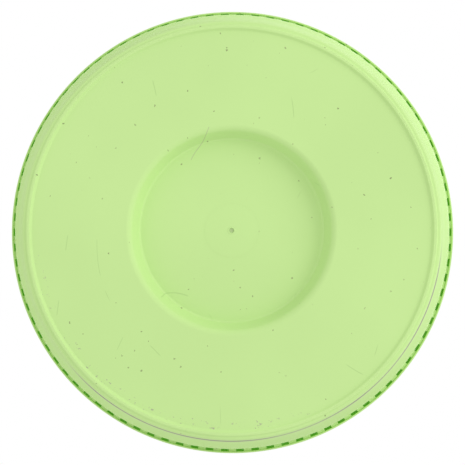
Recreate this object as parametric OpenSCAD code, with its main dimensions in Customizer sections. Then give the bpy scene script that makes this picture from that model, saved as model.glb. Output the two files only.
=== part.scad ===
// Salad spinner: a bowl, a slotted basket that turns on the bowl's centre pin, and a lid with a
// crank wheel, a ring gear, three idlers and a driver plate that spins the basket three times a turn.
// The origin is the centre of the foot ring, on the surface that the bowl stands on, and +Z is up.

/* [Bowl] */
// Wall and floor thickness of the bowl
bowl_wall = 2.2; // [1.6:0.1:3]
// Radius to the middle of the foot ring
foot_r = 103.7; // [85:0.5:125]
// Width of the foot ring's flat land
foot_w = 1.5; // [1:0.1:3]
// How far the flat underside stands above the foot ring
panel_lift = 1.2; // [0.6:0.1:3]
// Radius where the centre recess starts on the underside
recess_mouth_r = 53.6; // [40:0.5:62]
// Radius of the flat floor of the centre recess
recess_floor_r = 46.6; // [30:0.5:52]
// Depth of the centre recess
recess_depth = 9; // [4:0.5:10]
// Height from the foot ring to the top of the rim
bowl_h = 118; // [95:1:150]
// How far the top of the wall stands out beyond the foot ring
wall_flare = 17.1; // [8:0.1:22]
// How far the wall bulges beyond a straight line
wall_bulge = 3; // [0:0.1:5]
// Height of the small ledge around the foot
ledge_z = 1.2; // [0.8:0.1:3]
// Depth of the fine groove above the ledge
groove_depth = 0.5; // [0.2:0.1:1]

/* [Rim] */
// Height of the rim's outer skirt
skirt_h = 12; // [8:0.5:16]
// Thickness of the rim's outer skirt
skirt_t = 0.9; // [0.8:0.1:2]
// Number of stiffening ribs around the rim
rib_count = 90; // [60:1:120]
// Share of the rim's length that the ribs take
rib_share = 0.5; // [0.3:0.05:0.7]
// Radial width of the pockets between the ribs
pocket_w = 1.6; // [1.2:0.1:2.5]
// Depth of the pockets between the ribs
pocket_depth = 6; // [3:0.5:9]

/* [Basket] */
// Height of the basket's underside above the table
basket_z = 22; // [20:0.5:30]
// Wall and floor thickness of the basket
basket_wall = 2; // [1.5:0.1:3]
// Gap between the basket's foot and the inside of the bowl
basket_gap = 9.3; // [6:0.1:14]
// Gap between the basket's rim and the inside of the bowl
basket_rim_gap = 5.8; // [4:0.1:10]
// How far the basket's rim stays below the bowl's
basket_drop = 8.4; // [7:0.1:14]
// Width of the drain slots
slot_w = 3.2; // [2:0.1:3.8]
// Slots around the basket's wall
slot_columns = 40; // [24:4:56]
// Rows of slots up the basket's wall
slot_rows = 4; // [2:1:5]
// Radius of the bowl's centre pin
pin_r = 4; // [3:0.5:6]
// Height of the centre pin above the raised floor
pin_h = 10.6; // [9:0.1:12]

/* [Driver] */
// Thickness of the driver plate
plate_t = 2; // [1.5:0.1:3]
// Number of driving lugs
lug_count = 6; // [3:1:8]
// Width of a driving lug
lug_w = 9; // [6:0.5:14]
// Radius of the drive shaft
shaft_r = 4; // [3:0.5:5]

/* [Lid] */
// Thickness of the lid
lid_t = 2.4; // [2:0.1:3.5]
// How far the lid's edge stays inside the rim's edge
lid_inset = 1.5; // [0.5:0.1:4]
// Rise of the lid from its edge to the collar
dome_rise = 6; // [3:0.5:10]
// Depth of the rib that centres the lid in the bowl
locating_h = 7.5; // [4:0.5:10]
// Gap between the ring gear's rim and the wall of the gear chamber
chamber_gap = 2.2; // [1.5:0.1:4]

/* [Gears] */
// Gear module, pitch diameter over teeth
gear_module = 2; // [1.6:0.05:2.4]
// Teeth on the drive gear and on each idler
small_teeth = 15; // [15:3:15]
// Pressure angle
pressure_angle = 25; // [20:1:28]
// Face width of the gears
gear_face = 7.5; // [5:0.5:9]
// Play between meshed teeth
gear_backlash = 0.3; // [0.2:0.05:0.4]

/* [Crank and knob] */
// Thickness of the crank wheel
crank_t = 2.4; // [2:0.1:3.5]
// Distance from the axis to the knob
crank_arm = 44; // [36:1:48]
// Height of the knob
knob_h = 24; // [20:1:32]
// Largest radius of the knob
knob_r = 12.5; // [10:0.5:15]
// Radius of the knob's pin
knob_pin_r = 3; // [2.5:0.5:4]

/* [Brake] */
// Radius of the brake button
button_r = 11.7; // [9:0.1:13]
// Travel of the brake button
brake_travel = 3; // [2:0.5:3.5]
// Turns of the brake spring
spring_turns = 4.5; // [3:0.5:6]

/* [Fits] */
// Radial clearance of a part that turns or slides in a bore
running = 0.05; // [0.02:0.01:0.1]
// Radial clearance of a part pushed home in its seat
pushed = 0.03; // [0.01:0.01:0.05]
// Gap that keeps a moving face off a fixed one
face_gap = 0.3; // [0.2:0.05:0.5]

/* [Hidden] */
$fn = 72;
eps = 0.01;

leaf_green = [0.78, 0.91, 0.6];
deep_green = [0.42, 0.68, 0.28];
soft_white = [0.93, 0.94, 0.9];
acetal = [0.86, 0.86, 0.8];
steel = [0.7, 0.71, 0.73];
rubber = [0.2, 0.21, 0.2];

// The bowl
recess_z = panel_lift + recess_depth;
foot_slope = 1.2;
foot_out_r = foot_r + foot_w / 2 + 0.6;
wall_foot_z = ledge_z + 6.8;
wall_foot_r = foot_r + 3.9;
wall_top_r = foot_r + wall_flare;
skirt_z = bowl_h - skirt_h;
rib_z = skirt_z + 0.8;
pocket_in_r = wall_top_r + 0.7;
skirt_in_r = pocket_in_r + pocket_w;
rim_r = skirt_in_r + skirt_t;
floor_z = panel_lift + bowl_wall;
plateau_z = recess_z + bowl_wall;
corner_r = 6;
wall_steps = 10;

// Outer radius of the bowl's wall at a height
function wall_r(z) =
  let (t = (z - wall_foot_z) / (bowl_h - wall_foot_z))
  wall_foot_r + (wall_top_r - wall_foot_r) * t + wall_bulge * 4 * t * (1 - t);

// The basket and its pivot
bush_h = pin_h + 1.5;
bush_flat = pin_r + 2;
socket_wall = 2.6;
basket_rim_z = bowl_h - basket_drop;
basket_foot_z = basket_z + 5;
basket_foot_r = wall_r(basket_foot_z) - bowl_wall - basket_gap;
basket_rim_r = wall_r(basket_rim_z) - bowl_wall - basket_rim_gap;
basket_lip = 4.5;
basket_top_r = basket_rim_r - basket_lip;
basket_floor_z = basket_z + basket_wall;

// The driver, which hangs from the lid's shaft
plate_z = basket_rim_z + 1;
plate_top = plate_z + plate_t;
plate_r = basket_top_r + 1;
guide_h = 6.6;
guide_r = basket_top_r - basket_wall - 1.5;
lug_h = 3.8;
lug_out_r = basket_top_r + 1.8;
notch_gap = 0.4;
hub_r = shaft_r + 4;
hub_top = plate_top + 1.7;
hub_bottom = plate_z - guide_h;
shaft_bottom = hub_bottom + 2;
screw_r = 2;
washer_t = 1.2;

// The gears: a drive gear in the middle, three idlers around it and a ring gear outside
ring_teeth = 3 * small_teeth;
idler_arm = gear_module * small_teeth;
addendum = 0.9 * gear_module;
dedendum = 1.25 * gear_module;
idler_angles = [90, 210, 330];
idler_pin_r = 2.5;
idler_boss_r = 5.2;
ring_out_r = gear_module * ring_teeth / 2 + dedendum + 4;
ring_screw_arm = ring_out_r + 3.1;
ring_screw_angles = [45, 135, 225, 315];
ring_screw_r = 1.5;
ring_boss_r = 3.2;
ring_web_r = ring_screw_arm + ring_boss_r;
ring_web_t = 2;

// The lid and its gear chamber
lid_r = rim_r - lid_inset;
lid_edge_top = bowl_h + 2.6;
locating_r = wall_r(bowl_h - locating_h) - bowl_wall - 0.7;
locating_in_r = locating_r - 2;
catch_count = 6;
catch_turn = 30;
catch_drop = 6;
chamber_r = ring_web_r + chamber_gap;
chamber_floor = lid_edge_top + 0.6;
chamber_floor_top = chamber_floor + lid_t;
bush_flange_t = 1;
boss_bottom = hub_top + 0.2;
gear_z = chamber_floor_top + bush_flange_t + 0.2;
gear_top = gear_z + gear_face;
ring_web_z = gear_top - 0.8;
ring_top = ring_web_z + ring_web_t;
clip_t = 0.8;
shaft_top = gear_top + clip_t + 1.2;
collar_in_r = chamber_r + 6;
collar_r = collar_in_r + lid_t;
ledge_top = shaft_top + 0.9;
crank_z = ledge_top + face_gap;
flange_t = 2.4;
flange_top = crank_z + flange_t;
collar_top = flange_top + face_gap;
crank_top = collar_top + 2;
crank_under = crank_top - crank_t;
crank_r = chamber_r + 0.4;
knob_boss_r = 8;
dome_top = lid_edge_top + dome_rise;

// The knob
knob_boss_top = crank_top + 0.8;
knob_z = knob_boss_top + 0.2;
knob_top = knob_z + knob_h;
seat_z = knob_top - 7;
seat_r = 7.5;
knob_washer_t = 1;

// The brake, halfway between the collar and the rib that centres the lid
brake_arm = round(collar_r + locating_in_r) / 2;
cup_wall = 1.8;
cup_r = button_r + 0.5;
cup_floor_top = plate_top + brake_travel + 6.6;
cup_floor = cup_floor_top - lid_t;
cup_top = cup_floor_top + 5.3;
button_wall = 1.8;
button_bottom = cup_floor_top + brake_travel + 0.4;
button_top = cup_floor_top + 8.8;
button_roof = button_top - 2;
stem_r = 3.5;
pad_r = 8;
pad_z = plate_top + brake_travel + 0.4;
pad_top = cup_floor - face_gap;
barb_r = 2.2;
spring_wire_r = 0.5;
spring_r = 6.4;
guide_top = button_roof - brake_travel - 0.6;

// Points of a circular arc in the plane of a section
function arc(centre, r, from, to, steps) =
  [for (i = [0:steps]) let (a = from + (to - from) * i / steps) centre + r * [cos(a), sin(a)]];

// Points of a smooth step from one level to another
function step(from, to, steps) =
  [for (i = [0:steps]) let (t = i / steps) [
    from[0] + (to[0] - from[0]) * t,
    from[1] + (to[1] - from[1]) * (1 - cos(180 * t)) / 2
  ]];

// Points up or down the bowl's wall, set in by an amount
function wall_points(from_z, to_z, inset) =
  [for (i = [0:wall_steps]) let (z = from_z + (to_z - from_z) * i / wall_steps) [wall_r(z) - inset, z]];

// A ring of rectangular section
module ring(inner, outer, bottom, top) {
  difference() {
    translate([0, 0, bottom]) cylinder(r = outer, h = top - bottom);
    translate([0, 0, bottom - 1]) cylinder(r = inner, h = top - bottom + 2);
  }
}

module disc(r, bottom, top) {
  translate([0, 0, bottom]) cylinder(r = r, h = top - bottom);
}

// A straight slot along X from one radius to another, cut upwards from a height
module slot(from_r, to_r, width, bottom, height) {
  translate([from_r, -width / 2, bottom]) cube([to_r - from_r, width, height]);
}

module around(count, turn = 0) {
  for (i = [0:count - 1]) rotate(turn + 360 * i / count) children();
}

module at_angles(angles, arm) {
  for (a = angles) rotate(a) translate([arm, 0, 0]) children();
}

/* The bowl */

module bowl_section() {
  outside = concat(
    [[0, recess_z]],
    step([recess_floor_r, recess_z], [recess_mouth_r, panel_lift], 8),
    [
      [foot_r - foot_w / 2 - foot_slope, panel_lift],
      [foot_r - foot_w / 2, 0],
      [foot_r + foot_w / 2, 0],
      [foot_out_r, ledge_z - 0.2],
      [wall_foot_r - 1.4, ledge_z],
      [wall_foot_r - 0.6, ledge_z + 1.4]
    ],
    wall_points(wall_foot_z, rib_z, 0),
    [[skirt_in_r, rib_z], [skirt_in_r, skirt_z], [rim_r, skirt_z]],
    arc([rim_r - 1.5, bowl_h - 1.5], 1.5, 0, 90, 4)
  );
  corner_in_r = wall_r(floor_z + corner_r) - bowl_wall - corner_r;
  inside = concat(
    arc([wall_r(bowl_h) - bowl_wall + 1, bowl_h - 1], 1, 90, 180, 3),
    wall_points(bowl_h - 3, floor_z + corner_r + 1, bowl_wall),
    arc([corner_in_r, floor_z + corner_r], corner_r, 0, -90, 6),
    step([recess_mouth_r - 1, floor_z], [recess_floor_r - 1, plateau_z], 8),
    [[0, plateau_z]]
  );
  polygon(concat(outside, inside));
}

// The pin that the basket's bush turns on
module centre_pin() {
  disc(pin_r, plateau_z - 1, plateau_z + pin_h);
}

// The mark that the mould's gate leaves: a small ring around a dimple
module gate_mark() {
  disc(1.4, recess_z - 1, recess_z + 0.5);
}

module bowl() {
  groove_z = wall_foot_z + 2;
  color(leaf_green)
  difference() {
    union() {
      rotate_extrude() bowl_section();
      centre_pin();
      ring(1.4, 1.95, recess_z - 0.2, recess_z + 0.4);
    }
    around(rib_count)
      slot(pocket_in_r, skirt_in_r, 2 * PI * skirt_in_r / rib_count * (1 - rib_share), rib_z - 1,
        pocket_depth + 1);
    rotate_extrude() polygon([
      [wall_r(groove_z) - groove_depth, groove_z],
      [wall_r(groove_z) + 1, groove_z - 0.9],
      [wall_r(groove_z) + 1, groove_z + 0.9]
    ]);
    gate_mark();
  }
}

/* The basket */

// A thimble over the centre pin, hexagonal outside, that turns with the basket
module pivot_bush() {
  bottom = plateau_z + face_gap;
  top = plateau_z + bush_h;
  color(acetal)
  difference() {
    union() {
      translate([0, 0, bottom]) cylinder(r = bush_flat / cos(30), h = top - bottom, $fn = 6);
      disc(bush_flat / cos(30) + 2, bottom, bottom + 1.2);
    }
    disc(pin_r + running, bottom - 1, plateau_z + pin_h);
  }
}

module basket_shell() {
  rotate_extrude() polygon(concat(
    [[0, basket_z]],
    arc([basket_foot_r - 5, basket_foot_z], 5, -90, 0, 5),
    [
      [basket_top_r, basket_rim_z - basket_wall],
      [basket_rim_r - 1.5, basket_rim_z - basket_wall],
      [basket_rim_r - 1.5, basket_rim_z - 5],
      [basket_rim_r, basket_rim_z - 5]
    ],
    arc([basket_rim_r - 1, basket_rim_z - 1], 1, 0, 90, 3),
    [[basket_top_r - basket_wall, basket_rim_z]],
    arc([basket_foot_r - 5, basket_foot_z], 5 - basket_wall, 0, -90, 5),
    [[0, basket_floor_z]]
  ));
}

module wall_slots() {
  first_z = basket_foot_z + 5;
  pitch = (basket_rim_z - 11 - first_z) / slot_rows;
  for (row = [0:slot_rows - 1])
    around(slot_columns, 180 * (row % 2) / slot_columns)
      slot(basket_foot_r - 6, basket_rim_r - 1.6, slot_w, first_z + pitch * row, pitch - 4);
}

module floor_slots() {
  rings = [[0.19, 0.36, 12], [0.41, 0.62, 24], [0.67, 0.88, 36]];
  for (r = rings)
    around(r[2], 180 / r[2])
      slot(basket_foot_r * r[0], basket_foot_r * r[1], slot_w, basket_z - 1, basket_wall + 2);
}

module basket() {
  socket_top = plateau_z + bush_h;
  socket_r = (bush_flat + face_gap) / cos(30);
  color(soft_white)
  difference() {
    union() {
      basket_shell();
      disc(socket_r + socket_wall, plateau_z + 2, socket_top + 1.6);
    }
    wall_slots();
    floor_slots();
    around(lug_count)
      slot(guide_r, lug_out_r + notch_gap, lug_w + 2 * notch_gap, plate_z - lug_h - notch_gap, 10);
    translate([0, 0, plateau_z]) cylinder(r = socket_r, h = bush_h, $fn = 6);
  }
}

/* The driver */

// A round shaft with one flat, or the hole for one
module d_shaft(r, bottom, top) {
  intersection() {
    disc(r, bottom, top);
    translate([-2 * r, -r, bottom - 1]) cube([3 * r - 1, 2 * r, top - bottom + 2]);
  }
}

module basket_driver() {
  rings = [[0.2, 0.36, 12], [0.42, 0.6, 24], [0.65, 0.76, 36]];
  color(soft_white)
  difference() {
    union() {
      disc(plate_r, plate_z, plate_top);
      ring(guide_r - basket_wall, guide_r, plate_z - guide_h, plate_z + eps);
      around(lug_count) slot(guide_r - 0.5, lug_out_r, lug_w, plate_z - lug_h, lug_h + 1);
      disc(hub_r, hub_bottom, hub_top);
    }
    for (r = rings)
      around(r[2], 180 / r[2]) slot(plate_r * r[0], plate_r * r[1], slot_w, plate_z - 1, plate_t + 2);
    d_shaft(shaft_r + pushed, shaft_bottom, hub_top + 1);
    disc(screw_r + 0.3, hub_bottom - 1, shaft_bottom + 1);
  }
}

module driver_washer() {
  color(steel) ring(screw_r + 0.2, 6.5, hub_bottom - washer_t, hub_bottom);
}

module driver_screw() {
  head_top = hub_bottom - washer_t;
  color(steel)
  difference() {
    union() {
      disc(4, head_top - 2.6, head_top);
      disc(screw_r, head_top - 1, shaft_bottom + 9);
    }
    cross_slot(head_top - 2.6, 4.4);
  }
}

// A cross recess in a screw head that faces down
module cross_slot(bottom, width) {
  for (a = [0, 90]) rotate(a) translate([-width / 2, -0.4, bottom - 1]) cube([width, 0.8, 2.2]);
}

module drive_shaft() {
  groove_z = gear_top + 0.1;
  color(steel)
  difference() {
    union() {
      disc(shaft_r, hub_top, gear_z);
      d_shaft(shaft_r, shaft_bottom, hub_top + eps);
      d_shaft(shaft_r, gear_z - eps, shaft_top);
    }
    ring(shaft_r - 0.7, shaft_r + 1, groove_z, groove_z + clip_t + 0.1);
    disc(screw_r + pushed, shaft_bottom - 1, shaft_bottom + 10);
  }
}

module shaft_bush() {
  color(acetal)
  difference() {
    union() {
      disc(shaft_r + 2, boss_bottom, chamber_floor_top + eps);
      disc(shaft_r + 4.5, chamber_floor_top, chamber_floor_top + bush_flange_t);
    }
    disc(shaft_r + running, boss_bottom - 1, gear_z);
  }
}

/* The gears */

function involute(a) = tan(a) * 180 / PI - a;

// Half of a tooth's angle at a radius, with the tooth thinned at its pitch line
function half_tooth(r, teeth, thin) =
  let (pitch_r = gear_module * teeth / 2, base_r = pitch_r * cos(pressure_angle))
  90 / teeth - thin / pitch_r * 180 / PI + involute(pressure_angle) - involute(acos(min(1, base_r / r)));

// The outline of a toothed wheel whose first tooth is on +X
function tooth_outline(teeth, above, below, thin) =
  let (
    pitch_r = gear_module * teeth / 2,
    base_r = pitch_r * cos(pressure_angle),
    low = pitch_r - below,
    start = max(low, base_r),
    high = pitch_r + above,
    steps = 5,
    radii = concat(low < start ? [low] : [], [for (i = [0:steps]) start + (high - start) * i / steps]),
    last = len(radii) - 1
  )
  [for (k = [0:teeth - 1]) for (j = [0:2 * last + 1])
    let (
      rising = j <= last,
      r = radii[rising ? j : 2 * last + 1 - j],
      half = half_tooth(max(r, start), teeth, thin),
      a = 360 * k / teeth + (rising ? -half : half)
    )
    r * [cos(a), sin(a)]
  ];

module small_gear(bore_r) {
  difference() {
    linear_extrude(gear_face) polygon(tooth_outline(small_teeth, addendum, dedendum, gear_backlash / 4));
    translate([0, 0, -1]) cylinder(r = bore_r, h = gear_face + 2);
  }
}

module drive_gear() {
  color(soft_white)
  difference() {
    translate([0, 0, gear_z]) rotate(idler_angles[0]) small_gear(1);
    d_shaft(shaft_r + pushed, gear_z - 1, gear_top + 1);
  }
}

module idler_gear(which) {
  color(soft_white)
  at_angles([idler_angles[which]], idler_arm)
    translate([0, 0, gear_z]) small_gear(idler_pin_r + running);
}

module idler_gear_1() idler_gear(0);

module idler_gear_2() idler_gear(1);

module idler_gear_3() idler_gear(2);

// A retaining clip with a gap at one side
module clip(inner, outer, bottom) {
  difference() {
    ring(inner, outer, bottom, bottom + clip_t);
    translate([0, -inner * 0.7, bottom - 1]) cube([outer + 1, inner * 1.4, clip_t + 2]);
  }
}

module gear_clip() {
  color(steel) clip(shaft_r - 0.7 + pushed, shaft_r + 2.5, gear_top + 0.15);
}

module idler_pins() {
  groove_z = gear_top + 0.1;
  color(steel)
  at_angles(idler_angles, idler_arm)
    difference() {
      disc(idler_pin_r, chamber_floor - 2, gear_top + clip_t + 1);
      ring(idler_pin_r - 0.5, idler_pin_r + 1, groove_z, groove_z + clip_t + 0.1);
    }
}

module idler_clips() {
  color(steel)
  at_angles(idler_angles, idler_arm)
    clip(idler_pin_r - 0.5 + pushed, idler_pin_r + 2, gear_top + 0.15);
}

module ring_gear() {
  color(soft_white)
  difference() {
    union() {
      disc(ring_out_r, gear_z, ring_top);
      disc(ring_web_r, ring_web_z, ring_top);
    }
    translate([0, 0, gear_z - 1])
      linear_extrude(ring_top - gear_z + 2)
      rotate(idler_angles[0])
      polygon(tooth_outline(ring_teeth, dedendum, addendum, -gear_backlash / 4));
    at_angles(ring_screw_angles, ring_screw_arm) disc(ring_screw_r + 0.2, gear_z, ring_top + 1);
  }
}

module ring_gear_screws() {
  color(steel)
  at_angles(ring_screw_angles, ring_screw_arm)
    difference() {
      union() {
        disc(2.6, ring_web_z - 2, ring_web_z);
        disc(ring_screw_r, ring_web_z - 1, crank_under - 0.4);
      }
      cross_slot(ring_web_z - 2, 3.2);
    }
}

/* The lid */

module lid_dome() {
  steps = 8;
  span = lid_r - 4.5 - collar_in_r;
  top_curve = [for (i = [0:steps]) let (t = i / steps) [
    collar_in_r + span * t,
    lid_edge_top + dome_rise * (1 - t * t)
  ]];
  low_curve = [for (i = [steps:-1:0]) let (t = i / steps) [
    collar_in_r + span * t,
    max(lid_edge_top + dome_rise * (1 - t * t) - lid_t, bowl_h)
  ]];
  rotate_extrude() polygon(concat(
    top_curve,
    arc([lid_r - 1, lid_edge_top - 1], 1, 90, 0, 3),
    [[lid_r, bowl_h], [lid_r - 8, bowl_h]],
    [for (p = low_curve) if (p[0] < lid_r - 9) p]
  ));
}

module lid_collar() {
  ring(chamber_r, chamber_r + lid_t, chamber_floor, ledge_top);
  ring(chamber_r, collar_r, ledge_top - lid_t, ledge_top);
  ring(collar_in_r, collar_r, dome_top - 1, collar_top);
  disc(chamber_r + lid_t, chamber_floor, chamber_floor_top);
}

module lid() {
  color(leaf_green)
  union() {
    difference() {
      union() {
        lid_dome();
        lid_collar();
        ring(locating_in_r, locating_r, bowl_h - locating_h, bowl_h + 1);
        disc(shaft_r + 5.5, boss_bottom, chamber_floor + 1);
        at_angles(idler_angles, idler_arm) disc(idler_boss_r, chamber_floor - 2.7, gear_z - 0.2);
        at_angles([-90], brake_arm) disc(cup_r + cup_wall, cup_floor, cup_top);
        around(catch_count, catch_turn) slot(collar_r - 1, collar_r + 1, 7.4, collar_top - catch_drop, 1.6);
      }
      disc(shaft_r + 2 + pushed, boss_bottom - 1, chamber_floor_top + 1);
      at_angles(idler_angles, idler_arm) disc(idler_pin_r + pushed, chamber_floor - 2, gear_z);
      at_angles([-90], brake_arm) {
        disc(cup_r, cup_floor_top, button_top);
        disc(stem_r + running, cup_floor - 1, cup_top);
      }
    }
    at_angles([-90], brake_arm) ring(stem_r + running, 5.4, cup_floor, guide_top);
  }
}

module bezel_ring() {
  skirt_in = collar_r + pushed;
  skirt_out = skirt_in + 2;
  color(deep_green)
  difference() {
    union() {
      ring(crank_r + 0.5, skirt_out - 0.8, collar_top, collar_top + 2.4);
      ring(skirt_in, skirt_out, dome_top + 0.6, collar_top + 1.6);
    }
    around(catch_count, catch_turn)
      slot(collar_r - 1, skirt_out + 1, 8, collar_top - catch_drop - 0.2, 2);
  }
}

/* The crank wheel and its knob */

module crank_wheel() {
  color(soft_white)
  difference() {
    union() {
      disc(crank_r, crank_under, crank_top);
      ring(crank_r - 2.4, crank_r, crank_z, crank_top);
      ring(crank_r - 2.4, collar_in_r - 0.4, crank_z, flange_top);
      at_angles(ring_screw_angles, ring_screw_arm) disc(ring_boss_r, ring_top, crank_under + 1);
      translate([crank_arm, 0, 0]) disc(knob_boss_r, crank_top - 1, knob_boss_top);
    }
    at_angles(ring_screw_angles, ring_screw_arm)
      disc(ring_screw_r + pushed, ring_top - 1, crank_under);
    translate([crank_arm, 0, 0]) disc(knob_pin_r + pushed, crank_under - 1, knob_boss_top + 1);
  }
}

module knob_pin() {
  color(steel)
  translate([crank_arm, 0, 0]) {
    disc(5, crank_under - 1.6, crank_under);
    disc(knob_pin_r, crank_under - 1, seat_z + knob_washer_t + 0.5);
    disc(4.4, seat_z + knob_washer_t + 0.2, seat_z + knob_washer_t + 1.6);
  }
}

module knob_washer() {
  color(steel)
  translate([crank_arm, 0, 0]) ring(knob_pin_r + pushed, 6.6, seat_z + 0.2, seat_z + 0.2 + knob_washer_t);
}

module knob_section() {
  polygon(concat(
    [[0, knob_z], [knob_r * 0.84, knob_z], [knob_r * 0.88, knob_z + 1]],
    [for (i = [1:8]) let (t = i / 8) [
      knob_r * (0.88 - 0.12 * sin(180 * t) + 0.12 * t * t),
      knob_z + 1 + (knob_h - 5) * t
    ]],
    arc([knob_r - 4, knob_top - 4], 4, 0, 90, 5),
    [[0, knob_top]]
  ));
}

module knob() {
  color(deep_green)
  translate([crank_arm, 0, 0])
  difference() {
    rotate_extrude() knob_section();
    disc(knob_pin_r + running, knob_z - 1, knob_top + 1);
    disc(seat_r, seat_z, knob_top + 1);
  }
}

module knob_cap() {
  color(leaf_green)
  translate([crank_arm, 0, 0])
  rotate_extrude()
  polygon(concat(
    [[0, knob_top - 3], [seat_r - pushed, knob_top - 3], [seat_r - pushed, knob_top]],
    [for (i = [0:4]) let (t = i / 4) [
      (seat_r - pushed - 0.4) * (1 - t),
      knob_top + 0.2 + 1.2 * (1 - (1 - t) * (1 - t))
    ]]
  ));
}

/* The brake */

module brake_button() {
  color(deep_green)
  at_angles([-90], brake_arm) {
    rotate_extrude() polygon(concat(
      [
        [0, button_roof],
        [button_r - button_wall, button_roof],
        [button_r - button_wall, button_bottom],
        [button_r, button_bottom]
      ],
      arc([button_r - 1.6, button_top - 1.6], 1.6, 0, 90, 4),
      [[0, button_top]]
    ));
    disc(stem_r, pad_top, button_roof + 1);
    disc(barb_r, pad_top - 2.4, pad_top + 1);
  }
}

// One closed tube that runs round and up
module brake_spring() {
  sides = 8;
  per_turn = 20;
  rings = spring_turns * per_turn;
  rise = button_roof - cup_floor_top - 2 * spring_wire_r - 0.1;
  points = [for (i = [0:rings]) for (j = [0:sides - 1])
    let (a = 360 * i / per_turn, b = 360 * j / sides, r = spring_r + spring_wire_r * cos(b))
    [r * cos(a), r * sin(a), spring_wire_r + 0.05 + rise * i / rings + spring_wire_r * sin(b)]
  ];
  faces = concat(
    [[for (j = [0:sides - 1]) j]],
    [for (i = [0:rings - 1]) for (j = [0:sides - 1])
      let (k = (j + 1) % sides)
      [i * sides + j, (i + 1) * sides + j, (i + 1) * sides + k, i * sides + k]
    ],
    [[for (j = [sides - 1:-1:0]) rings * sides + j]]
  );
  color(steel)
  at_angles([-90], brake_arm) translate([0, 0, cup_floor_top]) polyhedron(points, faces);
}

module brake_pad() {
  color(rubber)
  at_angles([-90], brake_arm)
  difference() {
    disc(pad_r, pad_z, pad_top);
    disc(barb_r + pushed, pad_top - 2.5, pad_top + 1);
  }
}

bowl();
pivot_bush();
basket();
basket_driver();
driver_washer();
driver_screw();
drive_shaft();
shaft_bush();
drive_gear();
gear_clip();
idler_gear_1();
idler_gear_2();
idler_gear_3();
idler_pins();
idler_clips();
lid();
bezel_ring();
crank_wheel();
ring_gear();
ring_gear_screws();
knob_pin();
knob();
knob_washer();
knob_cap();
brake_button();
brake_spring();
brake_pad();
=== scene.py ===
# %% [markdown]
# # A salad spinner, part by part
# The spinner is a light green bowl, a slotted basket that turns inside it, and a lid with a crank
# wheel, a train of gears and a brake. The moving frame is already packed: it says where each part is
# and which parts move together. This lesson makes the surfaces that people see, around that frame.

# %% Load the frame
import math
import bpy
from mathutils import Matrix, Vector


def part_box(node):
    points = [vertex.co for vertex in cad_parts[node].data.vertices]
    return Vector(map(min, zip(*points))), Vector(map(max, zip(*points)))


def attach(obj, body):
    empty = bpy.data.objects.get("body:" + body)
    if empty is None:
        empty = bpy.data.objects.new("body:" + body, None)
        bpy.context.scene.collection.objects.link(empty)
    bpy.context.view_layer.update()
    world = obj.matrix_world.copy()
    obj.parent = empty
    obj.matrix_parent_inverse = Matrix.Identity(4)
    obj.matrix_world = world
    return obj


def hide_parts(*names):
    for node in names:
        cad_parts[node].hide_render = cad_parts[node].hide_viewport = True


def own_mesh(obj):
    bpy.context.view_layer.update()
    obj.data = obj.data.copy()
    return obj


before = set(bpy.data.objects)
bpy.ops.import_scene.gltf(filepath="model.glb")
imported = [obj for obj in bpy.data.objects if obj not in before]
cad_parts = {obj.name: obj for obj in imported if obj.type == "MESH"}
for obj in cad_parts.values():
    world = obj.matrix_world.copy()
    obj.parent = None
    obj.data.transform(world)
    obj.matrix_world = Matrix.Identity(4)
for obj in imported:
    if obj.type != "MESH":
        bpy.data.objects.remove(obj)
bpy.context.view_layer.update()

MM = 0.001

# %% [markdown]
# ## The sizes that everything follows
# A maker works from a few sizes and lets the rest follow. All are in millimetres. The outer sizes are
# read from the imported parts, so the surfaces fit the frame. The rest are the bowl's own: its wall, its
# foot ring, the recess in its underside, and the turned-down skirt with its pockets.

# %% The driving sizes


def span(node):
    """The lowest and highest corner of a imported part, in millimetres."""
    low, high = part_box(node)
    return [c / MM for c in low], [c / MM for c in high]


RIM_R = span("bowl")[1][0]
BOWL_H = span("bowl")[1][2]
WALL = 2.2
FOOT_R = 103.7
FOOT_W = 1.5
FOOT_IN_R = FOOT_R - FOOT_W / 2
FOOT_OUT_R = FOOT_R + FOOT_W / 2
PANEL_Z = 1.2
RECESS_Z = PANEL_Z + 9.0
RECESS_FLOOR_R = 47.2
RECESS_MOUTH_R = 51.5
PLATEAU_Z = RECESS_Z + WALL
FLOOR_Z = PANEL_Z + WALL
RIB_COUNT = 90
SKIRT_T = 0.9
SKIRT_IN_R = RIM_R - SKIRT_T
SKIRT_Z = BOWL_H - 12.0
RIB_Z = SKIRT_Z + 0.8
POCKET_W = 1.6
POCKET_IN_R = SKIRT_IN_R - POCKET_W
POCKET_DEPTH = 6.0
WALL_TOP_R = POCKET_IN_R - 0.7
WALL_FOOT_R = FOOT_R + 3.9
LEDGE_Z = 1.2
WALL_FOOT_Z = LEDGE_Z + 6.8
WALL_BULGE = 3.0
GROOVE_Z = WALL_FOOT_Z + 2.0


def wall_r(z):
    """The outer radius of the bowl's wall at a height."""
    t = (z - WALL_FOOT_Z) / (BOWL_H - WALL_FOOT_Z)
    return WALL_FOOT_R + (WALL_TOP_R - WALL_FOOT_R) * t + WALL_BULGE * 4 * t * (1 - t)


print("bowl:", round(2 * RIM_R, 1), "mm across,", round(BOWL_H, 1), "mm high")

# %% [markdown]
# ## Drawing a section and turning it
# Almost every part of a spinner is round, so each starts as a section, drawn point by point from one
# vertex with Extrude. A vertex bevel rounds its corners, as a mould maker's cutter would, and Spin
# turns the section about its axis. Selecting by place keeps each step exact.

# %% Helpers for sections


def take(piece):
    """Selects one object alone and makes it the active one."""
    bpy.ops.object.select_all(action="DESELECT")
    piece.select_set(True)
    bpy.context.view_layer.objects.active = piece


def edit(piece):
    take(piece)
    bpy.ops.object.mode_set(mode="EDIT")


def done():
    bpy.ops.object.mode_set(mode="OBJECT")


def settle():
    """Makes the selected object's place, turn and scale its own, with its origin at the world's."""
    bpy.ops.object.transform_apply(location=True, rotation=True, scale=True)


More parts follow.
